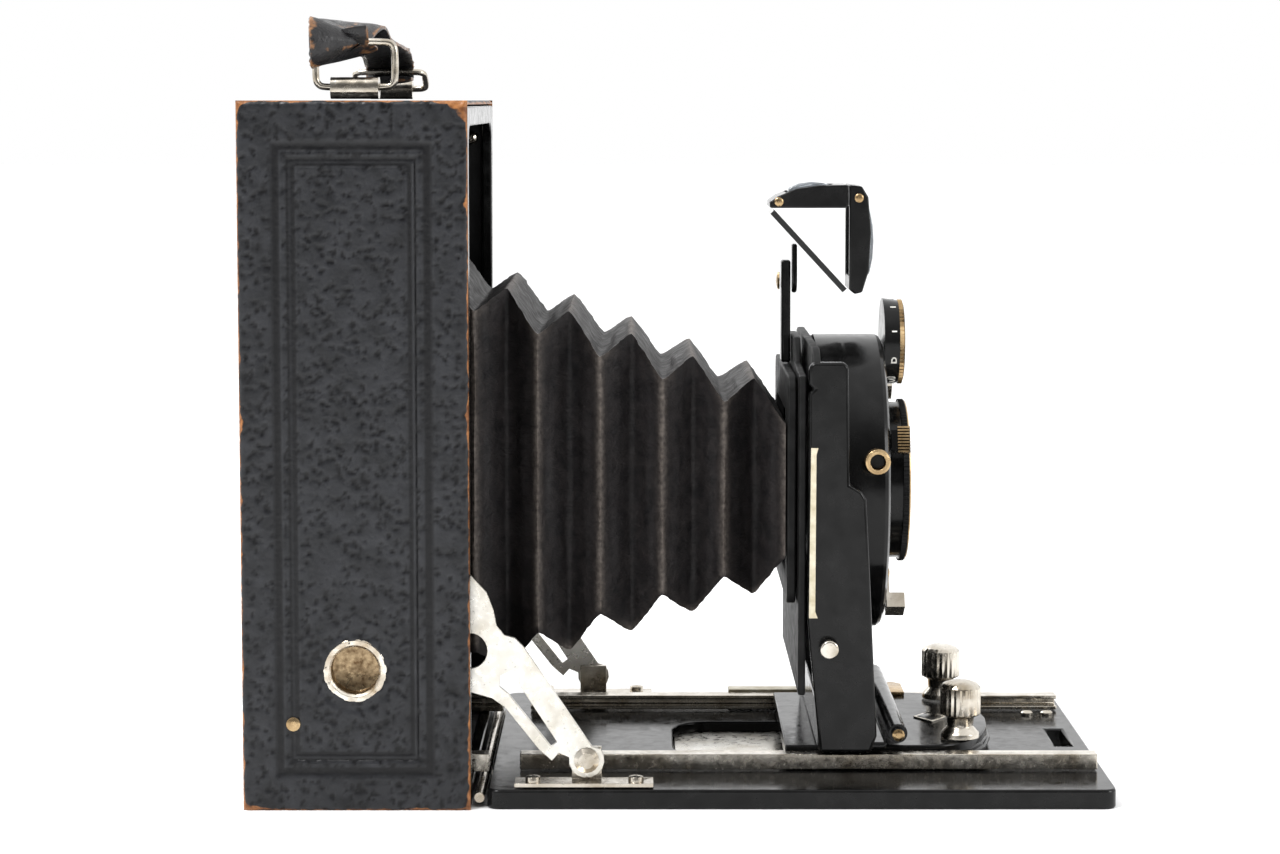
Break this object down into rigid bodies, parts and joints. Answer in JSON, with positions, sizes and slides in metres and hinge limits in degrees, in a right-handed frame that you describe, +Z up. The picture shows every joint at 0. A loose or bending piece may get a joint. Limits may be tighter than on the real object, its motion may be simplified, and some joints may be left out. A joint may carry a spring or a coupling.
{
  "type": "folding plate camera",
  "caption": "Vintage folding plate camera on its short end: leather case, dropped bed, tapered bellows, U standard, dial shutter, reflecting finder, strap handle.",
  "frame": {"origin": "bottom centre of the bounding box, on the surface that the camera stands on", "axes": "+X out of the lens, +Z up, -Y to the side with the tripod bush"},
  "size_m": [0.1756, 0.102, 0.157],
  "materials": {
    "leather": "pebbled, worn",
    "bellows_leather": "thin, matte",
    "strap_leather": "glossy, cracked",
    "black_lacquer": "gloss",
    "nickel": "worn nickel",
    "brass": "satin",
    "ivory": "satin",
    "glass": "clear",
    "mirror": "polished"
  },
  "bodies": {
    "case": {"leather_side_near": "leather", "leather_side_far": "leather", "case_side_near": "black_lacquer", "case_side_far": "black_lacquer", "leather_top": "leather", "case_top": "black_lacquer", "case_bottom": "leather", "front_rim": "black_lacquer", "tripod_bush": "nickel", "back_frame": "black_lacquer", "ground_glass": "glass", "bellows_rear_frame": "black_lacquer", "bellows": "bellows_leather", "handle_clip_near": "nickel", "handle_clip_far": "nickel", "strap": "strap_leather", "bed_panel": "black_lacquer", "bed_hinge_pin": "nickel", "rail_near": "nickel", "rail_far": "nickel", "case_rail_near": "nickel", "case_rail_far": "nickel", "focus_scale": "ivory", "strut_near": "nickel", "strut_far": "nickel", "strut_bracket_near": "nickel", "strut_bracket_far": "nickel"},
    "hood": {"hood_lid": "leather"},
    "ring_near": {"handle_ring_near": "nickel"},
    "ring_far": {"handle_ring_far": "nickel"},
    "carriage": {"carriage": "black_lacquer", "standard_foot": "black_lacquer", "foot_clamp_bar": "brass", "standard_arm_near": "black_lacquer", "standard_arm_far": "black_lacquer", "standard_plate": "black_lacquer", "bellows_front_frame": "black_lacquer", "finder_post": "black_lacquer"},
    "knob_near": {"pinch_knob_near": "nickel"},
    "knob_far": {"pinch_knob_far": "nickel"},
    "lock_screw": {"rise_lock_screw": "nickel"},
    "shutter": {"lens_board": "black_lacquer", "shutter_case": "black_lacquer", "front_cell": "black_lacquer", "front_lens": "glass", "rear_cell": "black_lacquer", "rear_lens": "glass", "iris": "black_lacquer", "cable_socket": "brass"},
    "speed_dial": {"speed_dial": "black_lacquer"},
    "aperture_lever": {"aperture_lever": "black_lacquer"},
    "cocking_lever": {"cocking_lever": "nickel"},
    "release_lever": {"release_lever": "nickel"},
    "finder": {"finder_arm": "black_lacquer", "finder_front_frame": "black_lacquer", "finder_top_frame": "black_lacquer", "finder_mirror": "mirror", "finder_front_lens": "glass", "finder_top_lens": "glass", "finder_pivot": "brass"}
  },
  "joints": [
    {"name": "carriage_slide", "type": "slide", "parent": "case", "child": "carriage", "axis": [1, 0, 0], "range_m": [-0.092, 0], "deforming": ["bellows"]},
    {"name": "hood_hinge", "type": "hinge", "parent": "case", "child": "hood", "pos_m": [-0.087, 0, 0.0152], "axis": [0, -1, 0], "range_deg": [0, 90]},
    {"name": "near_ring_hinge", "type": "hinge", "parent": "case", "child": "ring_near", "pos_m": [-0.0647, -0.0445, 0.1446], "axis": [1, 0, 0], "range_deg": [-60, 0], "deforming": ["strap"]},
    {"name": "far_ring_hinge", "type": "hinge", "parent": "case", "child": "ring_far", "pos_m": [-0.0647, 0.0445, 0.1446], "axis": [1, 0, 0], "range_deg": [-60, 0], "deforming": ["strap"]},
    {"name": "near_knob_pinch", "type": "slide", "parent": "carriage", "child": "knob_near", "axis": [0, 1, 0], "range_m": [0, 0.0015], "stiffness_N_per_m": 400},
    {"name": "far_knob_pinch", "type": "slide", "parent": "carriage", "child": "knob_far", "axis": [0, -1, 0], "range_m": [0, 0.0015], "stiffness_N_per_m": 400},
    {"name": "rising_front", "type": "slide", "parent": "carriage", "child": "shutter", "axis": [0, 0, 1], "range_m": [-0.004, 0.003]},
    {"name": "lock_screw_turn", "type": "hinge", "parent": "carriage", "child": "lock_screw", "pos_m": [0.0304, -0.0368, 0.0305], "axis": [0, 1, 0], "range_deg": [-180, 180]},
    {"name": "speed_dial_turn", "type": "hinge", "parent": "shutter", "child": "speed_dial", "pos_m": [0.0437, 0, 0.0904], "axis": [1, 0, 0], "range_deg": [-120, 120]},
    {"name": "aperture_swing", "type": "hinge", "parent": "shutter", "child": "aperture_lever", "pos_m": [0.0437, 0, 0.0605], "axis": [1, 0, 0], "range_deg": [0, 50]},
    {"name": "cocking_swing", "type": "hinge", "parent": "shutter", "child": "cocking_lever", "pos_m": [0.0437, 0, 0.0605], "axis": [-1, 0, 0], "range_deg": [0, 55], "stiffness_Nm_per_rad": 0.01},
    {"name": "release_press", "type": "hinge", "parent": "shutter", "child": "release_lever", "pos_m": [0.0437, 0, 0.0605], "axis": [1, 0, 0], "range_deg": [0, 12], "stiffness_Nm_per_rad": 0.01},
    {"name": "finder_swivel", "type": "hinge", "parent": "carriage", "child": "finder", "pos_m": [0.0243, 0, 0.1035], "axis": [1, 0, 0], "range_deg": [0, 90]}
  ]
}
